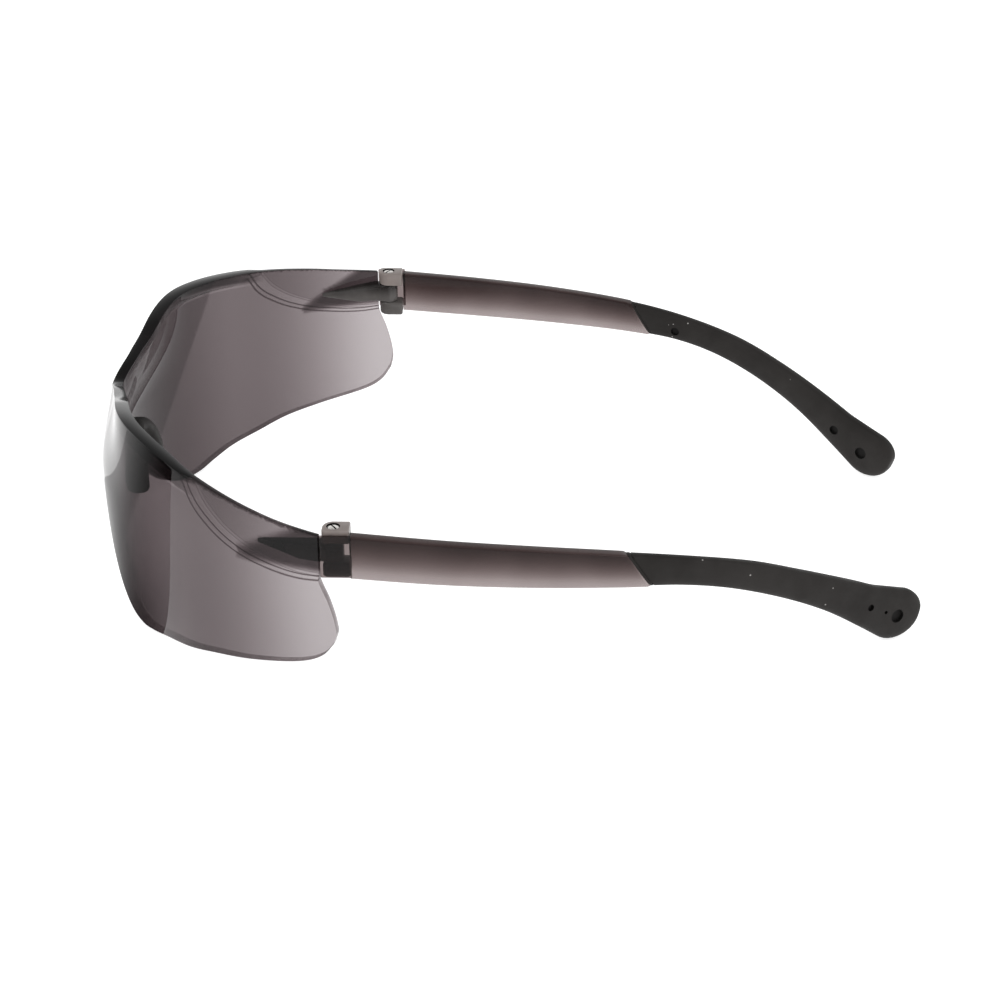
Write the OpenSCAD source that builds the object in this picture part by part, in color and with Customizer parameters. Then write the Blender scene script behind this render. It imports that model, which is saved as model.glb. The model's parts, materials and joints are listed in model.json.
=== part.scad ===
// Wrap-around safety glasses with a one-piece shield and two folding temples.
// +X is the wearer's left, the shield faces -Y, +Z is up. The glasses stand on the lower
// edge of the shield and on both temple tips; the origin is on that surface, under the
// middle of the glasses.

/* [Overall] */
// Distance between the two hinge axes
hinge_span = 130; // [124:1:136]
// Height of the hinge tops above the surface that the glasses stand on
hinge_height = 38.6; // [38:0.2:42]
// Depth from the hinge axis forward to the front of the shield
front_depth = 56.4; // [54:0.2:58]
// Reach from the hinge axis back to the end of a temple
temple_reach = 117.4; // [112:0.2:124]

/* [Shield] */
// Outer radius of the shield in plan
wrap_r = 70.6; // [70:0.2:72]
// Outer radius of the shield from brow to chin, at its front
face_r = 182; // [160:2:220]
// Wall thickness of the shield
lens_wall = 2.2; // [1.8:0.1:2.6]
// Thickness of the brow edge
brow_wall = 2.9; // [2.6:0.1:3.2]
// Height of the brow edge's thick band
brow_band = 2.4; // [1.5:0.1:3]
// Depth of the recessed panel at each upper rear corner
panel_depth = 0.8; // [0.4:0.1:1]

/* [Hinge] */
// Radius of the knuckles round the hinge screw
knuckle_r = 2.2; // [2.1:0.1:2.4]
// Radius of the shield's own middle knuckle
lug_r = 2; // [1.8:0.1:2.1]
// Radius of the screw's shank
shank_r = 0.8; // [0.7:0.05:0.9]
// Radius of the screw's head
head_r = 1.3; // [1.2:0.05:1.5]
// Running clearance round the shank in the middle and upper knuckles
run_gap = 0.05; // [0.02:0.01:0.08]
// Gap between the parts that turn past each other
hinge_gap = 0.2; // [0.15:0.05:0.3]

/* [Temples] */
// Thickness of a temple arm
arm_wall = 2.6; // [2.2:0.1:3]
// Thickness of the rubber sleeve where it starts
sleeve_wall = 2.9; // [2.7:0.1:3.2]
// Thickness of the rubber sleeve at the tip
tip_wall = 3.9; // [3.6:0.1:4.4]
// Thickness of the arm's core inside the sleeve
core_wall = 1.5; // [1.2:0.1:1.7]

/* [Hidden] */
$fn = 96;
eps = 0.01;
// Distance that is past every edge of the glasses
big = 200;
// Distance that a cutting shape runs past the edge it cuts
past = 24;

smoke = [0.30, 0.27, 0.27, 0.75];
rubber_black = [0.16, 0.15, 0.15];
nickel = [0.85, 0.82, 0.78];

// All heights and depths below are counted from the top of the left hinge axis.
hinge_x = hinge_span / 2;
hinge_y = (front_depth - temple_reach) / 2;

// Hinge stack, from the top down
upper_low = -3.0;
lug_high = upper_low - hinge_gap / 2;
lug_low = -7.2;
lower_high = lug_low - hinge_gap / 2;
lower_low = -10.4;
screw_end = -9.6;
head_h = 0.85;
thread_gap = 0.01;
knuckle_back = 3.2;
pocket_skin = 0.5;
block_front = -2.75;
// Outer face of the arm, outboard of the hinge axis
arm_face_x = 3;
// Rear edge of the shield beside the hinge
lens_back = -3.1;

// Level at which the shield stands furthest forward, and the axis it curves round there
face_level = -12.8;
face_axis_y = face_r - front_depth;
face_ring = face_r - wrap_r;

// Outline of the shield seen from the front, right half: brow, then lower edge to the nose
brow_front = [[0, 0.7], [2, 1], [7.2, 2.5], [12, 3.5], [20, 5.6], [27, 7.3], [34, 7.8], [43, 7.1], [52, 5.5]];
chin_front = [[52, -34.4], [46, -35.7], [41, -37.3], [36, -38.6], [30, -38.2], [24, -34.6],
              [18, -28.4], [12, -20.4], [6, -15.2], [0, -13.6]];
// Outline of the shield seen from the side: brow, rear edge, rear corner, lower edge
brow_side = [[-42, 7.0], [-27, 4.2], [-15, 1.3], [-3.1, -0.9]];
rear_side = [[-3.1, -10.2], [-2.4, -12.3], [-1.4, -15], [-0.4, -18.8], [0, -22.2], [-0.5, -25],
             [-3.2, -28.2], [-8, -30.3], [-18, -32.2], [-30, -34.1], [-40, -36.4]];
// Lower boundary of the recessed panel seen from the side, and the foot of its slope
panel_edge = [[-31.6, 6], [-30.4, 0], [-26.2, -4], [-20.3, -7.5], [-13, -9.7], [-7, -10.4], [-2, -10.2]];
panel_foot = [[-28.8, 6], [-27.6, 2.6], [-23.9, -2.2], [-20.1, -4.7], [-15.6, -7.2], [-9, -9.2],
              [-2, -9.8]];

// Edges of a temple seen from the side, hinge to tip
arm_top = [[0, -0.7], [20, -2.5], [40, -4.4], [57, -6.5], [70, -8.9], [82, -12.2], [92, -16.6],
           [101, -21.3], [107.5, -25.1]];
arm_bottom = [[0, -10], [20, -11.5], [40, -12.7], [57, -13.7], [68, -14.7], [78, -17.2], [88, -21.6],
              [97, -27.2], [105.5, -34.6]];
// The tip's upper and lower corners
tip_high_r = 5.2;
tip_high_at = [temple_reach - tip_high_r, -32.8];
tip_low_r = 4.9;
tip_low_at = [temple_reach - tip_low_r - 0.5, tip_low_r - hinge_height];

// Plan of a temple: straight, then a slight curve, then the bend round the ear, then straight
slight_from = 12;
slight_r = 260;
bend_from = 52;
bend_r = 125;
bend_to = 100;
slight_angle = asin((bend_from - slight_from) / slight_r);
bend_angle = asin(sin(slight_angle) + (bend_to - bend_from) / bend_r);

// The rubber starts on a slant
sleeve_from_top = 57;
sleeve_from_bottom = 61.6;

// The rubber thickens towards the tip in steps: [depth where it starts, share of the growth]
sleeve_steps = [[sleeve_from_top - 4, 0], [84, 0.5], [101, 1]];

// Openings in the sleeve that show the core: [depth from the hinge, height, radius]
outer_marks = [[105.9, -28.9, 0.75], [109.2, -31.1, 0.4], [111.7, -32.8, 1.5]];
inner_marks = [[67.7, -12.3, 1], [105, -28.8, 1.1], [111, -32.8, 1.4]];

// Nosepiece
tongue_w = 7;
tongue_low = -12.6;
tongue_t = 1.6;
tongue_back = -48.4;
saddle_front = -52.2;

// ---- curves ----

// Catmull-Rom curve through the points, with n steps between each two
function spline(p, n = 6) = [
    for (i = [0 : len(p) - 2], k = [0 : n - 1])
        catmull(p[max(i - 1, 0)], p[i], p[i + 1], p[min(i + 2, len(p) - 1)], k / n),
    p[len(p) - 1]
];
function catmull(a, b, c, d, t) =
    0.5 * (2 * b + (c - a) * t + (2 * a - 5 * b + 4 * c - d) * t * t
    + (3 * b - a - 3 * c + d) * t * t * t);
function backwards(p) = [for (i = [len(p) - 1 : -1 : 0]) p[i]];
function mirrored(p) = [for (q = p) [-q[0], q[1]]];
function raised(p, h) = [for (q = p) [q[0], q[1] + h]];
function arc(centre, r, from, to, n = 16) = [
    for (k = [0 : n]) centre + r * [cos(from + (to - from) * k / n), sin(from + (to - from) * k / n)]
];

// ---- placing ----

module placed() translate([0, hinge_y, hinge_height]) children();
module at_left_hinge() placed() translate([hinge_x, 0, 0]) children();
module at_right_hinge() placed() mirror([1, 0, 0]) translate([hinge_x, 0, 0]) children();

// A prism whose outline is drawn in X and Z and which runs along Y
module seen_from_front(from, to)
    translate([0, to, 0]) rotate([90, 0, 0]) linear_extrude(to - from) children();
// A prism whose outline is drawn in Y and Z and which runs along X
module seen_from_side(from, to)
    translate([from, 0, 0]) rotate([90, 0, 90]) linear_extrude(to - from) children();

// ---- shield ----

// Part of the shield's curved wall, from inner to outer offset against its outer face
module face_shell(inner, outer) {
    swing = 18;
    translate([0, face_axis_y, face_level]) rotate([0, 90, 0])
        rotate_extrude(angle = 2 * swing, start = 270 - swing, $fn = 720)
            translate([face_ring, 0]) intersection() {
                difference() {
                    circle(wrap_r + outer, $fn = 360);
                    circle(wrap_r + inner, $fn = 360);
                }
                translate([8, -big]) square([big, 2 * big]);
            }
}

// Outlines of half the shield are closed with their mirror image
function both_halves(half) = concat(half, backwards([for (q = mirrored(half)) if (q[0] < -eps) q]));

// Everything inside the shield's outline seen from the front; past its sides it is open
module front_outline() {
    seen_from_front(-front_depth - past, past)
        polygon(both_halves(concat(spline(brow_front), [[90, 2], [90, -36]], spline(chin_front))));
}

// Everything inside the shield's outline seen from the side; ahead of it, it is open
module side_outline() {
    seen_from_side(-big, big)
        polygon(concat([[-80, -46], [-80, 16], [-48, 12]], spline(brow_side),
                       spline(rear_side), [[-50, -46]]));
}

module face_wall() {
    intersection() {
        face_shell(-lens_wall, 0);
        front_outline();
        side_outline();
    }
}

// The thick band along the brow stands proud on the inside only, ahead of the panels
module brow_edge() {
    difference() {
        intersection() {
            face_shell(-brow_wall, 0);
            front_outline();
            side_outline();
            seen_from_side(-big, big) polygon([[-80, -20], [-80, 20], [-29, 20], [-33, -20]]);
        }
        seen_from_front(-front_depth - past, past)
            polygon(both_halves(concat(raised(spline(brow_front), -brow_band), [[90, 0], [90, -60]])));
    }
}

// The recessed panel is cut from the outside in two steps, so its lower boundary slopes
module panel_cut(edge, depth) {
    intersection() {
        face_shell(-depth, 5);
        seen_from_side(-big, big) polygon(concat(spline(edge), [[10, -9], [10, 20], [-30, 20]]));
    }
}

// End lug: a rib on the inside of the wall that runs back into the hinge's middle knuckle
module end_lug() {
    lug_h = lug_high - lug_low;
    rib_plan = [[-lug_r, 0], [-3.6, -14], [-3.4, -17], [-0.5, -17], [2.6, -3.6],
                [0.6, lens_back], [0.1, 0]];
    neck = [5, 10, 20];
    difference() {
        union() {
            translate([hinge_x, 0, lug_low]) cylinder(r = lug_r, h = lug_h);
            intersection() {
                translate([hinge_x, 0, lug_low]) linear_extrude(lug_h) polygon(rib_plan);
                union() {
                    face_shell(-20, -panel_depth - 0.2);
                    translate([hinge_x - 4, -8, -neck[2]]) cube(neck);
                }
            }
        }
        translate([hinge_x, 0, lug_low - 1]) cylinder(r = shank_r + run_gap, h = lug_h + 2);
    }
}

// Tongue behind the bridge that carries the nosepiece
module nose_tongue() {
    translate([-tongue_w / 2, -front_depth + 1, tongue_low])
        cube([tongue_w, tongue_back + front_depth - 1, tongue_t]);
}

module lens() {
    color(smoke) placed() {
        difference() {
            union() {
                face_wall();
                brow_edge();
            }
            panel_cut(panel_edge, panel_depth / 2);
            panel_cut(panel_foot, panel_depth);
        }
        end_lug();
        mirror([1, 0, 0]) end_lug();
        nose_tongue();
    }
}

// ---- nosepiece ----

// One pad: a rounded rubber fin that leans out and back as it goes down
module nose_pad() {
    hull() {
        translate([2.4, -49.5, -10.8]) scale([1, 1.2, 1]) sphere(1.9, $fn = 24);
        translate([5.2, -49.3, -13]) scale([0.9, 1.3, 1]) sphere(1.9, $fn = 24);
        translate([8.4, -48.8, -17.4]) scale([0.75, 1.3, 1]) sphere(1.9, $fn = 24);
        translate([10, -48.5, -20]) scale([0.7, 1.1, 1]) sphere(1.7, $fn = 24);
    }
}

module nosepiece() {
    gap = 0.05;
    color(rubber_black) placed() difference() {
        union() {
            nose_pad();
            mirror([1, 0, 0]) nose_pad();
            translate([-4.6, saddle_front, -13.8]) cube([9.2, 5.4, 4.4]);
        }
        translate([-tongue_w / 2 - gap, saddle_front - 3, tongue_low - gap])
            cube([tongue_w + 2 * gap, tongue_back - saddle_front + 3 + gap, tongue_t + 2 * gap]);
    }
}

// ---- temples: drawn at the left hinge, with the hinge axis as origin ----

// One face of the temple in plan, counted inward from its outer face: straight, two arcs, straight
function plan_face(inset) =
    let (slight_centre = [arm_face_x - slight_r, slight_from],
         bend_at = slight_centre + slight_r * [cos(slight_angle), sin(slight_angle)],
         bend_centre = bend_at - bend_r * [cos(slight_angle), sin(slight_angle)],
         end_at = bend_centre + (bend_r - inset) * [cos(bend_angle), sin(bend_angle)])
    concat([[arm_face_x - inset, block_front]],
           arc(slight_centre, slight_r - inset, 0, slight_angle, 12),
           arc(bend_centre, bend_r - inset, slight_angle + 1, bend_angle, 16),
           [end_at + 40 * [-sin(bend_angle), cos(bend_angle)]]);

// Band of the temple's plan between two faces
module plan_band(outer, inner, from, to) {
    intersection() {
        polygon(concat(plan_face(outer), backwards(plan_face(inner))));
        translate([-big, from]) square([2 * big, to - from]);
    }
}

// Side outline of the temple between its top and bottom edges, closed by the round tip
module temple_side(inset = 0) {
    top = raised(spline(arm_top), -inset);
    bottom = raised(spline(arm_bottom), inset);
    front = block_front - 1;
    tip = concat(arc(tip_high_at, tip_high_r - inset, 62, 0, 8), arc(tip_low_at, tip_low_r - inset, -12, -130));
    polygon(concat([[front, top[0][1]]], top, tip, backwards(bottom), [[front, bottom[0][1]]]));
}

// Side view of everything behind the slanted start of the sleeve, moved forward by shift
module behind_slant(shift = 0) {
    // depth gained for each millimetre down, on the slant through the two edges of the arm
    slope = (sleeve_from_bottom - sleeve_from_top) / 7.2;
    top = -6.5;
    start = sleeve_from_top - shift;
    polygon([[start + slope * (top - past), past], [big, past], [big, -big],
             [start + slope * (top + big), -big]]);
}

module temple_blade() {
    intersection() {
        linear_extrude(big, center = true) plan_band(0, arm_wall, block_front, temple_reach + past);
        seen_from_side(-big, past) difference() {
            temple_side();
            behind_slant();
        }
    }
}

// Core that runs on inside the rubber
module temple_core() {
    skin = (sleeve_wall - core_wall) / 2;
    rim = 1.4;
    overlap = 6;
    intersection() {
        linear_extrude(big, center = true)
            plan_band(skin, skin + core_wall, sleeve_from_top - overlap, temple_reach - 4);
        seen_from_side(-big, past) temple_side(rim);
    }
}

module knuckle(low, high) {
    translate([0, 0, low]) linear_extrude(high - low) {
        circle(knuckle_r);
        translate([-knuckle_r, 0]) square([knuckle_r + arm_face_x - 1, knuckle_back]);
        translate([0, -knuckle_r]) square([arm_face_x - 1, knuckle_r + knuckle_back]);
    }
}

// Pocket for the shield's knuckle: it leaves only a thin skin on the arm's outer face
module hinge_pocket() {
    from = [-knuckle_r - 1, block_front - 1, lower_high];
    to = [arm_face_x - pocket_skin, knuckle_back + 0.1, upper_low];
    translate(from) cube(to - from);
}

module temple() {
    difference() {
        union() {
            temple_blade();
            temple_core();
            knuckle(upper_low, 0);
            knuckle(lower_low, lower_high);
        }
        hinge_pocket();
        translate([0, 0, upper_low - 1]) cylinder(r = shank_r + run_gap, h = past);
        translate([0, 0, -head_h - 0.05]) cylinder(r = head_r + run_gap, h = past);
        translate([0, 0, screw_end - 0.2]) cylinder(r = shank_r + thread_gap, h = lower_high - screw_end + 1);
    }
}

module temple_left() color(smoke) at_left_hinge() temple();
module temple_right() color(smoke) at_right_hinge() temple();

// ---- sleeves ----

module sleeve_envelope() {
    growth = (tip_wall - sleeve_wall) / 2;
    intersection() {
        linear_extrude(big, center = true)
            for (s = sleeve_steps)
                plan_band(-growth * s[1], sleeve_wall + growth * s[1], s[0], temple_reach + past);
        seen_from_side(-big, past) intersection() {
            temple_side();
            behind_slant(-0.15);
        }
    }
}

// Plan position of the middle of the sleeve at a depth behind the bend
function sleeve_mid(y) =
    let (slight_end = slight_from + slight_r * sin(slight_angle),
         bend_x = arm_face_x - slight_r * (1 - cos(slight_angle)) - sleeve_wall / 2,
         turn = asin(min(sin(slight_angle) + (y - slight_end) / bend_r, sin(bend_angle))),
         past = max(y - bend_to, 0))
    bend_x - bend_r * (cos(slight_angle) - cos(turn)) - past * tan(bend_angle);

// The moulding marks are blind: each goes from one face of the rubber to the core
module marks(list, turn) {
    for (m = list)
        translate([sleeve_mid(m[0]), m[0], m[1]]) rotate([0, turn, 0]) cylinder(r = m[2], h = 8);
}

module temple_sleeve() {
    difference() {
        sleeve_envelope();
        temple_core();
        marks(outer_marks, 90);
        marks(inner_marks, -90);
    }
}

module temple_sleeve_left() color(rubber_black) at_left_hinge() temple_sleeve();
module temple_sleeve_right() color(rubber_black) at_right_hinge() temple_sleeve();

// ---- screws ----

module hinge_screw() {
    slot = [1.5, 0.3, 1];
    difference() {
        union() {
            translate([0, 0, -head_h]) cylinder(r = head_r, h = head_h - 0.05);
            translate([0, 0, screw_end]) cylinder(r = shank_r, h = -head_h - screw_end + eps);
        }
        for (turn = [0, 90]) rotate(turn) cube(slot, center = true);
    }
}

module hinge_screw_left() color(nickel) at_left_hinge() hinge_screw();
module hinge_screw_right() color(nickel) at_right_hinge() hinge_screw();

lens();
nosepiece();
temple_left();
temple_right();
temple_sleeve_left();
temple_sleeve_right();
hinge_screw_left();
hinge_screw_right();
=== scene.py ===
"""Wrap-around safety glasses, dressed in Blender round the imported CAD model.

Shapes are written in millimetres as x from the middle, y behind the hinge axes and z above
the hinge tops, and at() puts them in the row frame. Left-hand pieces are built, and their
right-hand copies are mirrored.
"""
import json
import math
import bmesh
import bpy
from mathutils import Matrix, Vector


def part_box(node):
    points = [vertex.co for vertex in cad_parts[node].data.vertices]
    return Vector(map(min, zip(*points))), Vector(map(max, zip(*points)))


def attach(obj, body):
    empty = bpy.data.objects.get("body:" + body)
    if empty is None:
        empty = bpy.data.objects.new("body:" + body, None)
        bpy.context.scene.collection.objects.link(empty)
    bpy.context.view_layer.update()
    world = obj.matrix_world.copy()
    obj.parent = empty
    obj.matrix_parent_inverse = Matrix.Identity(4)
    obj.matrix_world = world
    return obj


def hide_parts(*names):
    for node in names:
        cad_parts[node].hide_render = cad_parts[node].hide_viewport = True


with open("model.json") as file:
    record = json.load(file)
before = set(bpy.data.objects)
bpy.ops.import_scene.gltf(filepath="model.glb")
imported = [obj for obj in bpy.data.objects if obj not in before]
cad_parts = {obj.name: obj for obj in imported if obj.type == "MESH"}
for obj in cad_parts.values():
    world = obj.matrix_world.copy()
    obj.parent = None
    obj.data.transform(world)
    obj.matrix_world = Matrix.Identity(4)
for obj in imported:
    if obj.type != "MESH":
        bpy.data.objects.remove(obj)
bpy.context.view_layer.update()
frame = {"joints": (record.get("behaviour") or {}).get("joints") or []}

MM = 0.001
HINGE = Vector(frame["joints"][0]["pos_m"])
HINGE_X = HINGE.x / MM
HINGE_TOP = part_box("temple_left")[1].z


def depth_at(y):
    """Row-frame y of a depth in millimetres behind the hinge axes."""
    return HINGE.y + y * MM


def height_at(z):
    """Row-frame z of a height in millimetres over the hinge tops."""
    return HINGE_TOP + z * MM


def at(x, y, z):
    """Row-frame point of a design point in millimetres."""
    return Vector((x * MM, depth_at(y), height_at(z)))


# ---- the shield's sizes ----

# It lies on the same ring surface as the CAD's shield, with a finer outline of its own
WRAP_R = 70.6          # plan radius of the shield's outer face
RING_R = 111.4         # radius of the ring that the plan circle's centre travels on
RING_Y = 125.6         # centre of that ring
RING_Z = -12.8
REACH = RING_R + WRAP_R     # from the ring's centre to the foremost line of the shield
WALL = 2.2             # shield wall

# Edges of the shield's left half: x and z in front, y and z at the side
BROW = [(0, 0.7), (2, 1.0), (7.2, 2.5), (15.8, 4.4), (23.2, 6.4), (32, 7.6), (40.2, 7.4), (48.8, 6.1),
        (56.8, 4.0), (62.3, 2.0), (65.5, 0.5), (68.35, -0.9)]
REAR = [(-3.1, -0.9), (-3.1, -5.5), (-3.1, -10.1), (-2.4, -12.4), (-1.4, -15), (-0.4, -18.8), (0, -22.2),
        (-0.6, -25)]
CHIN_SIDE = [(-0.6, -25), (-3.2, -28.2), (-8, -30.3), (-18, -32.2), (-26, -33.5)]
CHIN_FRONT = [(52, -35.0), (46, -36.1), (41, -37.4), (36, -38.4), (30, -37.8), (24, -34.6), (18, -28.4),
              (12, -20.4), (6, -15.2), (0, -13.6)]

# Recessed panel at the upper rear corner: its outer boundary, and the foot of its slope (y and z)
PANEL_EDGE = [(-31.5, 4.6), (-29.6, 0.2), (-25.9, -3.9), (-20.3, -7.4), (-13, -9.6), (-7, -10.4),
              (-2, -10.2)]
PANEL_FOOT = [(-28.6, 4.5), (-26.7, 0.9), (-23.9, -2.2), (-20.1, -4.9), (-15.6, -7.0), (-9, -9.1),
              (-2, -9.7)]
PANEL_DEPTH = 0.8
PANEL_FRONT = -36      # there is no panel ahead of this depth
DARK_REFLECTION_Y = -40.3    # where the painted dark reflection on the front starts, level with the hinge tops
DARK_REFLECTION_LEAN = 0.37


# ---- curves ----

def smooth(t):
    """0 below 0, 1 above 1, and an even S between them."""
    t = min(max(t, 0.0), 1.0)
    return t * t * (3 - 2 * t)


def mix(a, b, t):
    """The value a share t of the way from a to b."""
    return a + (b - a) * t


def follow(points, x):
    """Height of the smooth curve through points at x; straight past its ends."""
    pts = points if points[-1][0] > points[0][0] else points[::-1]
    last = len(pts) - 1
    i = max([k for k in range(last) if pts[k][0] <= x], default=0)
    (x0, y0), (x1, y1) = pts[i], pts[i + 1]
    h = x1 - x0
    here = (y1 - y0) / h
    if x < x0 or x > x1:
        return y0 + here * (x - x0)
    before = (y0 - pts[i - 1][1]) / (x0 - pts[i - 1][0]) if i > 0 else here
    after = (pts[i + 2][1] - y1) / (pts[i + 2][0] - x1) if i + 2 <= last else here
    m0, m1 = (before + here) / 2, (here + after) / 2
    t = (x - x0) / h
    return ((2 * t ** 3 - 3 * t * t + 1) * y0 + (t ** 3 - 2 * t * t + t) * h * m0
            + (3 * t * t - 2 * t ** 3) * y1 + (t ** 3 - t * t) * h * m1)


def spline(points, steps=8):
    """Points on the Catmull-Rom curve through 2-D points."""
    out = []
    last = len(points) - 1
    for i in range(last):
        a, b, c, d = (Vector(points[k]) for k in (max(i - 1, 0), i, i + 1, min(i + 2, last)))
        for k in range(steps):
            t = k / steps
            out.append(0.5 * (2 * b + (c - a) * t + (2 * a - 5 * b + 4 * c - d) * t * t
                              + (3 * b - a - 3 * c + d) * t ** 3))
    out.append(Vector(points[last]))
    return out


def arc(cx, cy, r, start, end, steps=14):
    """Points on an arc, from one angle to another in degrees."""
    turns = [math.radians(mix(start, end, k / steps)) for k in range(steps + 1)]
    return [(cx + r * math.cos(a), cy + r * math.sin(a)) for a in turns]


def ring(cx, cy, r, points=40):
    """Evenly spaced points round a circle."""
    return arc(cx, cy, r, 0, 360, points)[:-1]


def along(points, share):
    """Point at a share of the length of a line of points."""
    lengths = [0.0]
    for a, b in zip(points, points[1:]):
        lengths.append(lengths[-1] + (b - a).length)
    want = share * lengths[-1]
    for i in range(len(points) - 1):
        if lengths[i + 1] >= want:
            span = lengths[i + 1] - lengths[i]
            return points[i].lerp(points[i + 1], (want - lengths[i]) / span if span else 0)
    return points[-1]


# ---- meshes ----

def closed_mesh(name, verts, faces, material, mirror):
    """A mesh of row-frame points with its faces turned outward, mirrored for the right-hand side."""
    if mirror:
        verts = [Vector((-v.x, v.y, v.z)) for v in verts]
        faces = [face[::-1] for face in faces]
    mesh = bpy.data.meshes.new(name)
    mesh.from_pydata(verts, [], faces)
    mesh.materials.append(material)
    mesh.validate()
    bm = bmesh.new()
    bm.from_mesh(mesh)
    bmesh.ops.remove_doubles(bm, verts=bm.verts, dist=1e-7)
    bmesh.ops.recalc_face_normals(bm, faces=bm.faces)
    bm.to_mesh(mesh)
    bm.free()
    return mesh


def smooth_shade(mesh):
    """Smooth shading that keeps the sharp edges sharp."""
    mesh.shade_smooth()
    mesh.set_sharp_from_angle(angle=math.radians(38))


def piece(name, verts, faces, body, material, mirror=False):
    """A mesh object from row-frame points, riding on a body."""
    mesh = closed_mesh(name, verts, faces, material, mirror)
    smooth_shade(mesh)
    obj = bpy.data.objects.new(name, mesh)
    bpy.context.scene.collection.objects.link(obj)
    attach(obj, body)
    return obj


def loft(rings):
    """Vertices and faces of a closed solid through rings of equal length."""
    n = len(rings[0])
    verts = [p for section in rings for p in section]
    faces = []
    for r in range(len(rings) - 1):
        for k in range(n):
            a, b = r * n + k, r * n + (k + 1) % n
            faces.append((a, b, b + n, a + n))
    faces.append(tuple(range(n))[::-1])
    faces.append(tuple(range((len(rings) - 1) * n, len(rings) * n)))
    return verts, faces


def rounded_section(half_w, half_h, r, steps=5):
    """Points of a rounded rectangle, as (across, up)."""
    r = min(r, half_w * 0.98, half_h * 0.98)
    corners = [(half_w - r, half_h - r, 0), (r - half_w, half_h - r, 90),
               (r - half_w, r - half_h, 180), (half_w - r, r - half_h, 270)]
    out = []
    for cx, cy, start in corners:
        for k in range(steps + 1):
            turn = math.radians(start + 90 * k / steps)
            out.append((cx + r * math.cos(turn), cy + r * math.sin(turn)))
    return out


def soft_section(half_w, half_h, power=2.9, points=44):
    """Points of a squared-off oval, as (across, up)."""
    out = []
    for k in range(points):
        turn = 2 * math.pi * (k + 0.5) / points
        c, s = math.cos(turn), math.sin(turn)
        out.append((math.copysign(half_w * abs(c) ** (2 / power), c),
                    math.copysign(half_h * abs(s) ** (2 / power), s)))
    return out


def bevel_edges(obj, width, angle=40, segments=3):
    """Rounds the sharp edges of a finished piece."""
    bm = bmesh.new()
    bm.from_mesh(obj.data)
    limit = math.radians(angle)
    sharp = [e for e in bm.edges if len(e.link_faces) == 2 and e.calc_face_angle() > limit]
    bmesh.ops.bevel(bm, geom=sharp, offset=width * MM, segments=segments, profile=0.5, affect="EDGES",
                    clamp_overlap=True)
    bm.to_mesh(obj.data)
    bm.free()
    smooth_shade(obj.data)


# ---- materials ----

def node_material(name):
    """A new material, its node tree and its output node."""
    mat = bpy.data.materials.new(name)
    mat.use_nodes = True
    tree = mat.node_tree
    tree.nodes.clear()
    out = tree.nodes.new("ShaderNodeOutputMaterial")
    return mat, tree, out


def math_node(tree, operation, a, b=None, clamp=False):
    """A sum or function of one or two values, each a number or a socket."""
    node = tree.nodes.new("ShaderNodeMath")
    node.operation = operation
    node.use_clamp = clamp
    for socket, value in zip(node.inputs, (a, b)):
        if value is None:
            continue
        if isinstance(value, (int, float)):
            socket.default_value = value
        else:
            tree.links.new(value, socket)
    return node.outputs[0]


def ranged(tree, value, low, high, to_low, to_high):
    """Value mapped smoothly from one range to another."""
    node = tree.nodes.new("ShaderNodeMapRange")
    node.interpolation_type = "SMOOTHSTEP"
    tree.links.new(value, node.inputs["Value"])
    for socket, number in zip(("From Min", "From Max", "To Min", "To Max"), (low, high, to_low, to_high)):
        node.inputs[socket].default_value = number
    return node.outputs["Result"]


def noise(tree, scale, detail=3.0, rough=0.55):
    """Even noise that is fixed to the object."""
    where = tree.nodes.new("ShaderNodeTexCoord")
    node = tree.nodes.new("ShaderNodeTexNoise")
    node.inputs["Scale"].default_value = scale
    node.inputs["Detail"].default_value = detail
    node.inputs["Roughness"].default_value = rough
    tree.links.new(where.outputs["Object"], node.inputs["Vector"])
    return node.outputs["Fac"]


def object_axis(tree, axis):
    """The object's own X, Y or Z at each point."""
    where = tree.nodes.new("ShaderNodeTexCoord")
    split = tree.nodes.new("ShaderNodeSeparateXYZ")
    tree.links.new(where.outputs["Object"], split.inputs[0])
    return split.outputs[axis]


def bump(tree, height, strength, distance):
    """A normal that makes heights look raised by up to a distance in metres."""
    node = tree.nodes.new("ShaderNodeBump")
    node.inputs["Strength"].default_value = strength
    node.inputs["Distance"].default_value = distance
    tree.links.new(height, node.inputs["Height"])
    return node.outputs["Normal"]


def painted(tree, name):
    """A value stored on the mesh's points when it was built."""
    node = tree.nodes.new("ShaderNodeAttribute")
    node.attribute_name = name
    return node.outputs["Fac"]


def tint_of(tree, density, absorb):
    """Colour let through by one face of the plastic: exp(-density * absorb) for each channel."""
    join = tree.nodes.new("ShaderNodeCombineColor")
    for socket, k in zip(join.inputs, absorb):
        power = math_node(tree, "MULTIPLY", density, -k)
        tree.links.new(math_node(tree, "EXPONENT", power), socket)
    return join.outputs[0]


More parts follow.
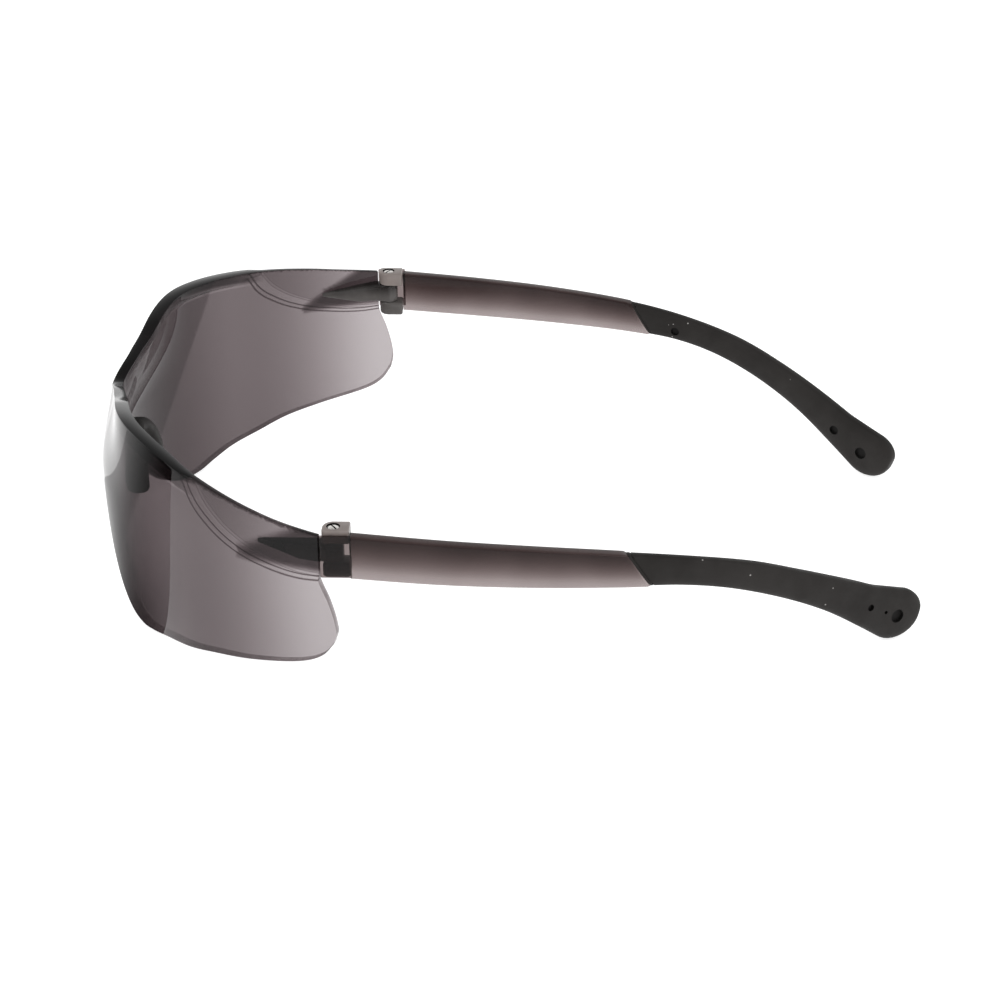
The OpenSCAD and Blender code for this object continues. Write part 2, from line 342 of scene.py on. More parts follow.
def clear_plastic(name, density_of, absorb, gloss=0.018, rough=0.02, frost=None):
    """Tinted clear plastic: what it lets through, and a mirror that grows at a shallow angle."""
    mat, tree, out = node_material(name)
    through = tree.nodes.new("ShaderNodeBsdfTransparent")
    tree.links.new(tint_of(tree, density_of(tree), absorb), through.inputs["Color"])
    mirror = tree.nodes.new("ShaderNodeBsdfGlossy")
    mirror.inputs["Color"].default_value = (1, 1, 1, 1)
    if frost is None:
        tree.links.new(ranged(tree, noise(tree, 60), 0.3, 0.7, rough, rough * 2), mirror.inputs["Roughness"])
    else:
        tree.links.new(frost(tree), mirror.inputs["Roughness"])
    facing = tree.nodes.new("ShaderNodeLayerWeight")
    facing.inputs["Blend"].default_value = 0.5
    edge = math_node(tree, "POWER", facing.outputs["Facing"], 5.0)
    share = math_node(tree, "MULTIPLY_ADD", edge, 1 - gloss)
    share.node.inputs[2].default_value = gloss
    blend = tree.nodes.new("ShaderNodeMixShader")
    tree.links.new(share, blend.inputs["Fac"])
    tree.links.new(through.outputs[0], blend.inputs[1])
    tree.links.new(mirror.outputs[0], blend.inputs[2])
    tree.links.new(blend.outputs[0], out.inputs["Surface"])
    return mat


SMOKE = (0.93, 1.02, 1.0)       # how strongly the shield's tint takes up red, green and blue
ARM_SMOKE = (0.93, 1.05, 1.06)


def hump(tree, value, centre, half_width, height):
    """A bump of a height round one value, and 0 away from it."""
    off = math_node(tree, "ABSOLUTE", math_node(tree, "SUBTRACT", value, centre))
    return ranged(tree, off, 0, half_width, height, 0)


def added(tree, *terms):
    """The sum of any number of values."""
    total = terms[0]
    for term in terms[1:]:
        total = math_node(tree, "ADD", total, term)
    return total


def multiplied(tree, a, b):
    """The product of two values."""
    return math_node(tree, "MULTIPLY", a, b)


def tone_density(tree):
    """The tint of the whole shield: light at the rear and darker ahead, with a step darker at the front that
    is a painted dark reflection.
    """
    y = object_axis(tree, "Y")
    rear = ranged(tree, y, depth_at(-32), depth_at(-1), 1.12, 0.48)
    front = ranged(tree, y, depth_at(-56), depth_at(-34), 0.6, 0)
    # The step is a painted dark reflection, darker ahead of a slanted line on the front
    step = ranged(tree, painted(tree, "ahead"), -0.4, 0.4, 0, 0.3)
    return added(tree, rear, front, step)


def brow_density(tree):
    """A ragged dark line along the brow's edge and, ahead of the panels, the thick band below it."""
    below = painted(tree, "below")
    ragged = multiplied(tree, math_node(tree, "SUBTRACT", noise(tree, 1500, 4), 0.5), 1.6)
    edge = ranged(tree, added(tree, below, ragged), 0.3, 1.1, 1.5, 0)
    band = ranged(tree, below, 2.9, 3.4, 1.0, 0)
    light_line = hump(tree, below, 3.6, 0.35, -0.4)
    ahead = ranged(tree, object_axis(tree, "Y"), depth_at(-36), depth_at(-27), 1, 0)
    return added(tree, edge, multiplied(tree, ahead, added(tree, band, light_line)))


def panel_density(tree):
    """Thin dark lines along the top and foot of each panel's slope, and its floor a little darker."""
    foot = painted(tree, "foot")
    top_line = hump(tree, painted(tree, "panel"), 0, 0.26, 1.5)
    foot_line = hump(tree, foot, 0, 0.2, 0.5)
    panel_floor = ranged(tree, foot, 0, 0.4, 0, 0.2)
    behind = ranged(tree, object_axis(tree, "Y"), depth_at(-32.5), depth_at(-30.5), 0, 1)
    return multiplied(tree, behind, added(tree, top_line, foot_line, panel_floor))


def shield_density(tree):
    """How dense each face of the shield looks."""
    # lug adds the thick plastic's own darkness by the hinge, with painted shadow and painted refraction
    # lines
    return added(tree, tone_density(tree), brow_density(tree), panel_density(tree), painted(tree, "lug"))


def shield_rough(tree):
    """Polished, and rough where the panel is stippled."""
    return added(tree, multiplied(tree, painted(tree, "frost"), 0.45), 0.015)


def rim_density(tree):
    """The rim is seen through more plastic than the faces are, so it looks darker."""
    return added(tree, shield_density(tree), ranged(tree, noise(tree, 300), 0.3, 0.7, 0.6, 0.9))


def arm_density(tree):
    """Lighter where the painted thin value says so, which on the arm is painted light from below and on the
    hinge skin its thinness, with faint cloudy flow in the plastic.
    """
    flow = ranged(tree, noise(tree, 45, 2), 0.3, 0.7, 0.95, 1.08)
    return multiplied(tree, flow, math_node(tree, "SUBTRACT", 1.45, painted(tree, "thin")))


def two_tones(tree, share, first, second):
    """A colour that goes from the first to the second as a share goes from 0 to 1."""
    ramp = tree.nodes.new("ShaderNodeValToRGB")
    ramp.color_ramp.elements[0].color = (*first, 1)
    ramp.color_ramp.elements[1].color = (*second, 1)
    tree.links.new(share, ramp.inputs["Fac"])
    return ramp.outputs["Color"]


def dusted(tree, colour):
    """A colour with a few pale specks of dust over it."""
    speck = tree.nodes.new("ShaderNodeTexVoronoi")
    speck.inputs["Scale"].default_value = 420
    where = tree.nodes.new("ShaderNodeTexCoord")
    tree.links.new(where.outputs["Object"], speck.inputs["Vector"])
    near = ranged(tree, speck.outputs["Distance"], 0.05, 0.09, 1, 0)
    few = ranged(tree, noise(tree, 150, 1), 0.52, 0.58, 0, 1)
    over = tree.nodes.new("ShaderNodeMix")
    over.data_type = "RGBA"
    over.inputs["B"].default_value = (0.3, 0.29, 0.28, 1)
    tree.links.new(multiplied(tree, near, few), over.inputs["Factor"])
    tree.links.new(colour, over.inputs["A"])
    return over.outputs["Result"]


def rubber(name, shade, dust=True):
    """Matt black rubber with a fine moulded grain, a little wear and specks of dust."""
    mat, tree, out = node_material(name)
    skin = tree.nodes.new("ShaderNodeBsdfPrincipled")
    skin.inputs["Specular IOR Level"].default_value = 0.16
    skin.inputs["Sheen Weight"].default_value = 0.03
    skin.inputs["Sheen Roughness"].default_value = 0.5
    wear = ranged(tree, noise(tree, 70, 4), 0.3, 0.7, 0, 1)
    colour = two_tones(tree, wear, (shade * 0.8, shade * 0.7, shade * 0.64),
                       (shade * 1.3, shade * 1.16, shade * 1.08))
    if dust:
        colour = dusted(tree, colour)
    tree.links.new(colour, skin.inputs["Base Color"])
    tree.links.new(ranged(tree, noise(tree, 240, 4), 0.3, 0.7, 0.5, 0.66), skin.inputs["Roughness"])
    tree.links.new(bump(tree, noise(tree, 1400, 2), 0.25, 0.00005), skin.inputs["Normal"])
    tree.links.new(skin.outputs[0], out.inputs["Surface"])
    return mat


def nickel(name):
    """Satin nickel plate, faintly mottled."""
    mat, tree, out = node_material(name)
    skin = tree.nodes.new("ShaderNodeBsdfPrincipled")
    skin.inputs["Metallic"].default_value = 1.0
    colour = two_tones(tree, noise(tree, 900, 3), (0.8, 0.77, 0.73), (0.95, 0.93, 0.9))
    tree.links.new(colour, skin.inputs["Base Color"])
    tree.links.new(ranged(tree, noise(tree, 2500, 3), 0.3, 0.7, 0.18, 0.34), skin.inputs["Roughness"])
    tree.links.new(bump(tree, noise(tree, 3000, 2), 0.15, 0.00002), skin.inputs["Normal"])
    tree.links.new(skin.outputs[0], out.inputs["Surface"])
    return mat


def smoke_block(name, high, low):
    """Thick smoke plastic, too deep to see far into: one shade at the top, one lower down; where the top is
    darker, that is painted shade, and the lighter lower part is painted light from below.
    """
    mat, tree, out = node_material(name)
    skin = tree.nodes.new("ShaderNodeBsdfPrincipled")
    skin.inputs["Alpha"].default_value = 0.94
    skin.inputs["IOR"].default_value = 1.58
    skin.inputs["Specular IOR Level"].default_value = 0.22
    cloud = ranged(tree, noise(tree, 160, 3), 0.3, 0.7, -0.15, 0.15)
    # Colour by height: a painted change of light from the top down
    depth = ranged(tree, object_axis(tree, "Z"), height_at(-3), height_at(-6.5), 0, 1)
    share = math_node(tree, "ADD", depth, cloud, clamp=True)
    colour = two_tones(tree, share, (high, high * 0.86, high * 0.8), (low, low * 0.92, low * 0.88))
    tree.links.new(colour, skin.inputs["Base Color"])
    tree.links.new(ranged(tree, noise(tree, 300, 3), 0.3, 0.7, 0.12, 0.26), skin.inputs["Roughness"])
    tree.links.new(bump(tree, noise(tree, 700, 2), 0.12, 0.00004), skin.inputs["Normal"])
    tree.links.new(skin.outputs[0], out.inputs["Surface"])
    return mat


LENS_PLASTIC = clear_plastic("smoke_shield", shield_density, SMOKE, frost=shield_rough)
RIM_PLASTIC = clear_plastic("smoke_rim", rim_density, SMOKE, gloss=0.02, rough=0.1)
ARM_PLASTIC = clear_plastic("smoke_arm_plastic", arm_density, ARM_SMOKE, gloss=0.014, rough=0.08)
# Dark at the top and lighter lower down: painted shade on the top, painted light from below on the lower
# part
BLOCK_PLASTIC = smoke_block("smoke_block_plastic", 0.014, 0.09)
TAB_PLASTIC = smoke_block("smoke_tab_plastic", 0.24, 0.05)
SLEEVE_RUBBER = rubber("black_sleeve_rubber", 0.0165)
NOSE_RUBBER = rubber("black_nose_rubber", 0.014, dust=False)
SCREW_METAL = nickel("nickel_plate")
# Near-black painted shade for the hollows: the sleeves' holes, the tab's recess and the screw's slot
PIT_SHADE = rubber("pit_painted_shade", 0.004, dust=False)


# ---- shield ----

def ring_depth(plan, z):
    """y on the shield's outer surface at a plan angle and a height."""
    reach = RING_R + WRAP_R * math.cos(plan)
    return RING_Y - math.sqrt(reach * reach - (z - RING_Z) ** 2)


def plan_at(y, z):
    """Plan angle of the outer surface's point seen from the side at y, z."""
    return math.acos((math.hypot(y - RING_Y, z - RING_Z) - RING_R) / WRAP_R)


def settle(x, y, z):
    """The bridge leans back under the brow, and the lower rear corners curl in."""
    bridge = mix(1.9, 2.9, smooth(abs(x) / 10)) * (1 - smooth((abs(x) - 14) / 24))
    y += bridge * smooth((z + 13) / 17)
    curl = 1.4 * smooth((y + 32) / 30) * smooth((-9 - z) / 20)
    return x - math.copysign(curl, x) if x else x, y, z


def shield_edges():
    """Top, rear and lower edge of the left half, each as (arc length, height) points."""
    def side(points):
        return [Vector((WRAP_R * plan_at(y, z), z)) for y, z in points]

    def front(points):
        return [Vector((WRAP_R * math.asin(x / WRAP_R), z)) for x, z in points]

    top = spline(front(BROW))
    rear = spline(side(REAR))
    low = spline(side(CHIN_SIDE) + front(CHIN_FRONT))[::-1]
    return top, rear, low


def panel_share(y, z):
    """0 outside the recessed panel, 1 on its floor, between on its slope."""
    if y < PANEL_FRONT:
        return 0.0
    edge, foot = follow(PANEL_EDGE, y), follow(PANEL_FOOT, y)
    overlap, least_slope = 0.2, 1.5
    return smooth((z - edge + overlap) / max(foot - edge + overlap, least_slope))


def wall_at(s, below):
    """Wall thickness at an arc length from the middle and a distance below the brow."""
    band = 1 - smooth((below - 2.2) / 0.7)
    proud = mix(0.1, 0.75, smooth((s - 8) / 14)) * (1 - smooth((s - 50) / 12))
    return WALL + band * proud - 0.35 * smooth((s - 58) / 20)


def shield_point(s, z, below, inner):
    """A point of the outer or inner face; s is the arc length in plan."""
    plan = s / WRAP_R
    x, y = WRAP_R * math.sin(plan), ring_depth(plan, z)
    depth = wall_at(s, below) if inner else PANEL_DEPTH * panel_share(y, z)
    out = Vector((math.sin(plan), -math.cos(plan), math.cos(plan) * (z - RING_Z) / REACH))
    out.normalize()
    point = Vector(settle(x, y, z)) - out * depth
    if s == 0:
        point.x = 0.0
    return point


def between_edges(top, rear, low, u, v):
    """Arc length and height inside the edges: u runs from the middle to the rear, v from top to chin."""
    middle = top[0].lerp(low[0], v)
    corners = (top[0] * (1 - u) * (1 - v) + top[-1] * u * (1 - v) + low[0] * (1 - u) * v
               + low[-1] * u * v)
    return (along(top, u) * (1 - v) + along(low, u) * v + middle * (1 - u) + along(rear, v) * u
            - corners)


def brow_height(top, s):
    """Height of the brow at an arc length from the middle."""
    return min(top, key=lambda point: abs(point.x - s)).y


def shield_grid(columns, rows):
    """Points of both faces, and the number of each by column, row and face (0 outer, 1 inner)."""
    top, rear, low = shield_edges()
    verts, index = [], {}
    for i in range(-columns, columns + 1):
        for j in range(rows + 1):
            v = mix(j / rows, smooth(j / rows), 0.35)
            flat = between_edges(top, rear, low, abs(i) / columns, v)
            below = brow_height(top, flat.x) - flat.y
            for inner in (0, 1):
                x, y, z = shield_point(flat.x, flat.y, below, inner)
                index[i, j, inner] = len(verts)
                verts.append(at(-x if i < 0 else x, y, z))
    return verts, index


def sheet_faces(index, columns, rows):
    """Faces of the outer and inner sheets."""
    faces = []
    for i in range(-columns, columns):
        for j in range(rows):
            for inner in (0, 1):
                quad = (index[i, j, inner], index[i + 1, j, inner],
                        index[i + 1, j + 1, inner], index[i, j + 1, inner])
                faces.append(quad if inner else quad[::-1])
    return faces


def rim_faces(index, columns, rows):
    """Faces that join the two sheets round their edge."""
    border = [(i, 0) for i in range(-columns, columns)]
    border += [(columns, j) for j in range(rows)]
    border += [(i, rows) for i in range(columns, -columns, -1)]
    border += [(-columns, j) for j in range(rows, 0, -1)]
    return [(index[(*here, 0)], index[(*there, 0)], index[(*there, 1)], index[(*here, 1)])
            for here, there in zip(border, border[1:] + border[:1])]


def paint(obj, name, rule):
    """Stores a number on each point of a piece; rule takes x, y, z in design millimetres."""
    layer = obj.data.attributes.new(name, "FLOAT", "POINT")
    for vert, value in zip(obj.data.vertices, layer.data):
        p = vert.co
        value.value = rule(p.x / MM, (p.y - HINGE.y) / MM, (p.z - HINGE_TOP) / MM)


def brow_line(x):
    """Height of the brow's edge at a distance from the middle, held just short of its rear end."""
    return follow(BROW, min(abs(x), BROW[-1][0] - 0.05))


def above(curve, y, z):
    """Distance over a curve, square to it; ahead of the curve, over its first stretch."""
    y = max(y, curve[0][0] + 0.3)
    step = 0.2
    slope = (follow(curve, y + step) - follow(curve, y - step)) / (2 * step)
    return (z - follow(curve, y)) / math.hypot(1, slope)


def panel_mark(x, y, z):
    """Distance above the panel's outer boundary."""
    return above(PANEL_EDGE, y, z)


def foot_mark(x, y, z):
    """Distance above the foot of the panel's slope."""
    return above(PANEL_FOOT, y, z)


def below_mark(x, y, z):
    """Distance below the brow's edge."""
    return brow_line(x) - z


def dark_reflection_mark(x, y, z):
    """Distance ahead of the slanted line where the painted dark reflection on the front starts."""
    return DARK_REFLECTION_Y + DARK_REFLECTION_LEAN * z - y


def wedge(y, z, tip_y, tip_z):
    """1 inside a wedge that narrows forward to a tip, 0 outside it."""
    return smooth((y - tip_y - 3.5 * abs(z - tip_z)) / 1.5)


def lug_shadow_and_refraction_mark(x, y, z):
    """The thick plastic beside the hinge: dark at the rear, partly its own tone and partly painted shadow,
    with two points that run forward, painted refraction lines along the rib's edges.
    """
    if y < -20:
        return 0.0
    over_panel_foot = smooth(z + 9.1)
    high_refraction_line = 0.9 * wedge(y, z, -16.8, -4.3)
    low_refraction_line = 0.8 * wedge(y, z, -13.5, -7.2)
    rear = 1.1 * smooth((y + 10.5) / 6) * smooth((-2.4 - z) / 1.2)
    corner = smooth((y + 8.0 + 1.3 * (brow_line(x) - z)) / 3)
    return over_panel_foot * max(high_refraction_line, low_refraction_line, rear, corner)


def frost_mark(x, y, z):
    """The rear of the recessed panel is stippled."""
    return panel_share(y, z) * smooth((y + 16) / 6) * smooth((-6.4 - z) / 1.5)


# lug holds painted shadow and painted refraction lines by the hinge as well as the thick plastic's tone
SHIELD_MARKS = {"panel": panel_mark, "foot": foot_mark, "below": below_mark, "ahead": dark_reflection_mark,
                "lug": lug_shadow_and_refraction_mark, "frost": frost_mark}


def shield():
    """The shield as a closed shell: an outer and an inner sheet, joined round the rim."""
    columns, rows = 210, 66
    verts, index = shield_grid(columns, rows)
    sheets = sheet_faces(index, columns, rows)
    rim = rim_faces(index, columns, rows)
    obj = piece("shield", verts, sheets + rim, "front", LENS_PLASTIC)
    obj.data.materials.append(RIM_PLASTIC)
    for face in obj.data.polygons[len(sheets):]:
        face.material_index = 1
    bevel_edges(obj, 0.35, 50, 2)
    for mark, rule in SHIELD_MARKS.items():
        paint(obj, mark, rule)
    return obj


# ---- lugs, hinge blocks and screws ----

def slab(name, outline, low, high, body, material, round_off, mirror):
    """A plate with an outline in x and y, rounded along its edges."""
    verts = [at(x, y, high) for x, y in outline] + [at(x, y, low) for x, y in outline]
    n = len(outline)
    faces = [tuple(range(n)), tuple(range(2 * n - 1, n - 1, -1))]
    faces += [(k, k + n, (k + 1) % n + n, (k + 1) % n) for k in range(n)]
    obj = piece(name, verts, faces, body, material, mirror)
    bevel_edges(obj, round_off)
    return obj


LUG_TOP, LUG_LOW = -3.1, -7.2
TAB_LOW, LOWER_TOP, LOWER_LOW = -3.0, -7.3, -10.4
KNUCKLE_R = 2.2
BLOCK_BACK, BLOCK_OUTER = 3.2, 2.0      # how far the block goes back, and outward from the axis
RIB = [(-15.4, 61.8, 0.3, -4.9, 0.4), (-14.2, 62.1, 0.5, -4.9, 0.7), (-11, 63.0, 0.85, -5.1, 1.2),
       (-7, 64.2, 1.3, -5.35, 1.85), (-3.4, 65.1, 1.5, -5.15, 2.05), (-1.2, 64.8, 1.6, -5.15, 2.05),
       (0.2, 64.6, 1.6, -5.15, 2.05)]   # each a depth, then x and half width, then z and half height


def lug(side, mirror):
    """The rib inside the shield, which narrows forward and ends in the hinge's middle knuckle."""
    rings = []
    for y, x, half_w, z, half_h in RIB:
        rings.append([at(x + a, y, z + b) for a, b in rounded_section(half_w, half_h, 0.45)])
    verts, faces = loft(rings)
    rib = piece("shield_rib_" + side, verts, faces, "front", BLOCK_PLASTIC, mirror)
    knuckle = slab("shield_knuckle_" + side, ring(HINGE_X, 0, 2), LUG_LOW, LUG_TOP, "front",
                   BLOCK_PLASTIC, 0.2, mirror)
    return [rib, knuckle]


def block_outline():
    """Plan of the hinge block: rounded in front on the inside, square behind."""
    outer, inner = HINGE_X + BLOCK_OUTER, HINGE_X - KNUCKLE_R
    return ([(outer, 0.5 - KNUCKLE_R), (outer, BLOCK_BACK), (inner, BLOCK_BACK), (inner, 0)]
            + arc(HINGE_X, 0, KNUCKLE_R, 180, 270)[1:] + [(outer - 0.6, -KNUCKLE_R)])


def hinge_block(side, mirror):
    """Upper tab with the screw's recess, lower knuckle, and the thin skin outside them."""
    body = "arm_" + side
    tab = slab("hinge_tab_" + side, block_outline(), TAB_LOW, 0, body, TAB_PLASTIC, 0.3, mirror)
    cut_from(tab, cylinder(HINGE_X, 0, -0.75, 1, 1.36), mirror)
    lower = slab("hinge_lower_" + side, block_outline(), LOWER_LOW, LOWER_TOP, body, BLOCK_PLASTIC,
                 0.5, mirror)
    skin_plan = [(67.5, -2.7), (68, -2.4), (68, 3.6), (67.5, 3.6)]
    skin = slab("hinge_skin_" + side, skin_plan, -9.9, -0.7, body, ARM_PLASTIC, 0.15, mirror)
    paint(skin, "thin", lambda x, y, z: 0.6)
    return [tab, lower, skin]


def cylinder(x, y, low, high, r):
    """Vertices and faces of an upright cylinder."""
    return loft([[at(px, py, z) for px, py in ring(x, y, r)] for z in (low, high)])


def cut_from(obj, shape, mirror):
    """Subtracts a closed shape from a piece; the hollow gets near-black painted shade."""
    cutter = bpy.data.objects.new("cutter", closed_mesh("cutter", *shape, PIT_SHADE, mirror))
    bpy.context.scene.collection.objects.link(cutter)
    step = obj.modifiers.new("cut", "BOOLEAN")
    step.operation = "DIFFERENCE"
    step.solver = "EXACT"
    step.material_mode = "TRANSFER"
    step.object = cutter
    bpy.context.view_layer.update()
    graph = bpy.context.evaluated_depsgraph_get()
    done = bpy.data.meshes.new_from_object(obj.evaluated_get(graph))
    obj.modifiers.clear()
    obj.data = done
    smooth_shade(done)
    bpy.data.objects.remove(cutter)


SCREW_PROFILE = [(0.8, -9.6), (0.8, -0.86), (1.12, -0.84), (1.28, -0.7), (1.3, -0.45), (1.22, -0.28),
                 (0.95, -0.14), (0.5, -0.07), (0.05, -0.05)]    # radius and height, shank to crown
SLOT_HALF_LENGTH, SLOT_HALF_WIDTH, SLOT_FLOOR = 1.6, 0.17, -0.42
SLOT_TURN = 35


def slot_cutter():
    """The bar that leaves the screw's slot."""
    turn = math.radians(SLOT_TURN)
    c, s = math.cos(turn), math.sin(turn)
    a, b = SLOT_HALF_LENGTH, SLOT_HALF_WIDTH
    plan = [(HINGE_X + u * c - v * s, u * s + v * c) for u, v in ((a, b), (-a, b), (-a, -b), (a, -b))]
    return loft([[at(x, y, z) for x, y in plan] for z in (SLOT_FLOOR, 0.3)])


def screw(side, mirror):
    """Domed head with a slot, on its shank."""
    verts, faces = loft([[at(x, y, z) for x, y in ring(HINGE_X, 0, r)] for r, z in SCREW_PROFILE])
    obj = piece("screw_" + side, verts, faces, "arm_" + side, SCREW_METAL, mirror)
    cut_from(obj, slot_cutter(), mirror)
    return obj


# ---- temples and sleeves ----

# Top and lower edge of the arm and its sleeve, as y and z
ARM_TOP = [(0, -0.7), (20, -2.5), (40, -4.4), (57, -6.5), (70, -8.9), (82, -12.2), (92, -16.6),
           (101, -21.3), (107.5, -25.1)]
ARM_LOW = [(0, -10), (20, -11.5), (40, -12.7), (57, -13.7), (68, -14.7), (78, -17.2), (88, -21.6),
           (97, -27.2), (105.5, -34.4)]
TIP_HIGH = (112.2, -32.8, 5.2)      # corner circles of the tip: centre, then radius
TIP_LOW = (112.0, -33.7, 4.9)
ARM_X = 66.6           # middle of the arm where it is straight
FIRST_BEND, EAR_BEND, EAR_END = 12, 52, 100     # where each bend starts, and where the last ends
FIRST_R, EAR_R = 260, 125               # plan radii of the two bends
ARM_HALF = 1.3          # half the arm's thickness
ARM_START = BLOCK_BACK + 0.1
CORE_INSET = 0.35       # how far the core inside the sleeve stands in from the arm's edges
SLANT_TOP, SLANT_LOW = 57.0, 61.6       # where the sleeve starts on the arm's two edges


def arm_plan(y):
    """Middle of the arm in plan at a depth, and the angle that it has turned inward by."""
    if y < FIRST_BEND:
        return ARM_X, 0.0
    first = math.asin((min(y, EAR_BEND) - FIRST_BEND) / FIRST_R)
    x = ARM_X - FIRST_R * (1 - math.cos(first))
    if y < EAR_BEND:
        return x, first
    turn = math.asin(math.sin(first) + (min(y, EAR_END) - EAR_BEND) / EAR_R)
    x -= EAR_R * (math.cos(first) - math.cos(turn))
    return x - max(y - EAR_END, 0) * math.tan(turn), turn


def arm_ring(top, low, half_w, corner=None):
    """A section of the arm between points on its top and lower edges; without a corner it is oval."""
    middle = (top + low) / 2
    up = top - low
    half_h = max(up.length / 2, 0.05)
    up.normalize()
    if corner:
        section = rounded_section(half_w, half_h, corner)
    else:
        section = soft_section(half_w, half_h)
    points = []
    for across, rise in section:
        y, z = middle + up * rise
        x, turn = arm_plan(y)
        points.append(at(x + across * math.cos(turn), y + across * math.sin(turn), z))
    return points


def temple_arm(side, mirror):
    """The clear arm: its section leans back to the sleeve's slant, and a thinner core goes on inside."""
    stations = 66
    rings = []
    for k in range(stations):
        y = mix(ARM_START, SLANT_TOP + 5, k / (stations - 1))
        low_y = y + (SLANT_LOW - SLANT_TOP) * smooth((y - 25) / (SLANT_TOP - 25))
        inset = CORE_INSET * smooth((y - SLANT_TOP) / 0.5)
        top = Vector((y, follow(ARM_TOP, y) - inset))
        low = Vector((low_y, follow(ARM_LOW, low_y) + inset))
        rings.append(arm_ring(top, low, ARM_HALF - inset / 2, 0.5))
    verts, faces = loft(rings)
    obj = piece("arm_blade_" + side, verts, faces, "arm_" + side, ARM_PLASTIC, mirror)
    # The arm's lower part is painted lighter, as painted light from below
    paint(obj, "thin", arm_lit_below)
    return obj


def arm_lit_below(x, y, z):
    """How much lighter the arm looks: most along its lower edge, painted light from below, and least in a
    line at its top edge.
    """
    top, low = follow(ARM_TOP, y), follow(ARM_LOW, y)
    rise = (z - low) / (top - low)
    edge = 0.9 * smooth(1 - abs(rise - 0.955) / 0.04)
    return 0.25 * (1 - rise) + 0.6 * (1 - smooth(rise / 0.7)) - edge


def sleeve_half(y):
    """Half the sleeve's thickness, which grows towards the tip."""
    return 1.5 + 0.5 * smooth((y - 62) / 40)


def tail(points, start):
    """The curve through points, from a depth on."""
    return [Vector((start, follow(points, start)))] + [p for p in spline(points) if p.x > start + 0.3]


SLEEVE_LENGTH = 74      # along its edges, near enough to turn millimetres into shares
LIP = [(0.0, -0.3), (0.12, -0.08), (0.3, 0.0), (0.75, 0.0), (0.85, -0.13), (1.0, -0.13),
       (1.1, 0.0)]      # how far along the sleeve, and how far its skin stands out (below 0: in)
TIP_SHARE = 0.9         # share of the sleeve where its end starts to round off


def sleeve_shares():
    """Where the sections are, as shares of the sleeve: close at the lip and at the rounded tip."""
    lip = [d / SLEEVE_LENGTH for d, _ in LIP]
    grip = [mix(1.6 / SLEEVE_LENGTH, TIP_SHARE, k / 60) for k in range(61)]
    tip = [1 - (1 - TIP_SHARE) * math.cos(math.radians(90 * k / 20)) for k in range(1, 20)]
    return lip + grip + tip


def sleeve_rings():
    """Sections from the slanted lip to the rounded tip."""
    top = tail(ARM_TOP, SLANT_TOP) + [Vector(p) for p in arc(*TIP_HIGH, 62, -8)]
    low = tail(ARM_LOW, SLANT_LOW) + [Vector(p) for p in arc(*TIP_LOW, -130, -8)]
    rings = []
    for k, share in enumerate(sleeve_shares()):
        inset = LIP[k][1] if k < len(LIP) else 0.0
        upper, lower = along(top, share), along(low, share)
        half_w = sleeve_half(upper.x)
        if share > TIP_SHARE:
            half_w *= math.sqrt(max(1 - ((share - TIP_SHARE) / (1 - TIP_SHARE)) ** 2.4, 0.0004))
        shrink = (upper - lower).normalized() * inset
        rings.append(arm_ring(upper + shrink, lower - shrink, half_w + inset))
    return rings


# Blind moulding holes: y, z and radius
OUTER_MARKS = [(105.9, -28.9, 0.75), (109.2, -31.1, 0.4), (111.7, -32.8, 1.5)]
INNER_MARKS = [(67.7, -12.3, 1), (105, -28.8, 1.1), (111, -32.8, 1.4)]
MARK_DEPTH = 0.7


def mark_cutter(y, z, r, facing):
    """A short cylinder across the sleeve that leaves a blind hole in one face."""
    x, turn = arm_plan(y)
    c, s = math.cos(turn), math.sin(turn)
    rings = []
    for past_face in (-MARK_DEPTH, 1.5):
        a = facing * (sleeve_half(y) + past_face)
        rings.append([at(x + a * c - dy * s, y + a * s + dy * c, z + dz) for dy, dz in ring(0, 0, r, 24)])
    return loft(rings)


def temple_sleeve(side, mirror):
    """The rubber sleeve with its moulding holes."""
    verts, faces = loft(sleeve_rings())
    obj = piece("sleeve_" + side, verts, faces, "arm_" + side, SLEEVE_RUBBER, mirror)
    for marks, facing in ((OUTER_MARKS, 1), (INNER_MARKS, -1)):
        for y, z, r in marks:
            cut_from(obj, mark_cutter(y, z, r, facing), mirror)
    return obj


# ---- nosepiece ----

NOSE_PATH = [(0, -49.9, -9.9), (2.6, -49.6, -10.6), (5.0, -49.3, -12.6), (7.0, -49.0, -15),
             (8.8, -48.8, -17.6), (9.8, -48.6, -19.6), (10.3, -48.5, -21)]


def rounded_end(share, start, spread):
    """1 up to a share of the strip, then falling as a round end does; spread is its length squared."""
    return math.sqrt(max(1 - max(share - start, 0) ** 2 / spread, 0.01))


def nose_sections():
    """Sections of the left pad, from the bridge down: point, direction, half thickness and depth."""
    front_view = spline([(x, z) for x, y, z in NOSE_PATH], 6)
    side_view = sorted((z, y) for x, y, z in NOSE_PATH)
    last = len(front_view) - 1
    sections = []
    for k, (x, z) in enumerate(front_view):
        share = k / last
        thick = mix(1.5, 1.75, smooth(share * 2)) * rounded_end(share, 0.86, 0.0198)
        deep = mix(1.9, 2.5, smooth(share * 2.2)) * rounded_end(share, 0.8, 0.0405)
        onward = front_view[min(k + 1, last)] - front_view[k - 1] if k else Vector((1, 0))
        sections.append((Vector((x, follow(side_view, z), z)), onward.normalized(), thick, deep))
    return sections


def nosepiece():
    """One soft strip, folded over the bridge into two pads that lean out and back."""
    half = nose_sections()
    rings = []
    for sign, sections in ((-1, half[:0:-1]), (1, half)):
        for p, onward, thick, deep in sections:
            section = rounded_section(thick, deep, min(thick, 1.4))
            rings.append([at(sign * (p.x - onward.y * a), p.y + b, p.z + onward.x * a) for a, b in section])
    verts, faces = loft(rings)
    return piece("nose_pads", verts, faces, "front", NOSE_RUBBER)


# ---- building ----

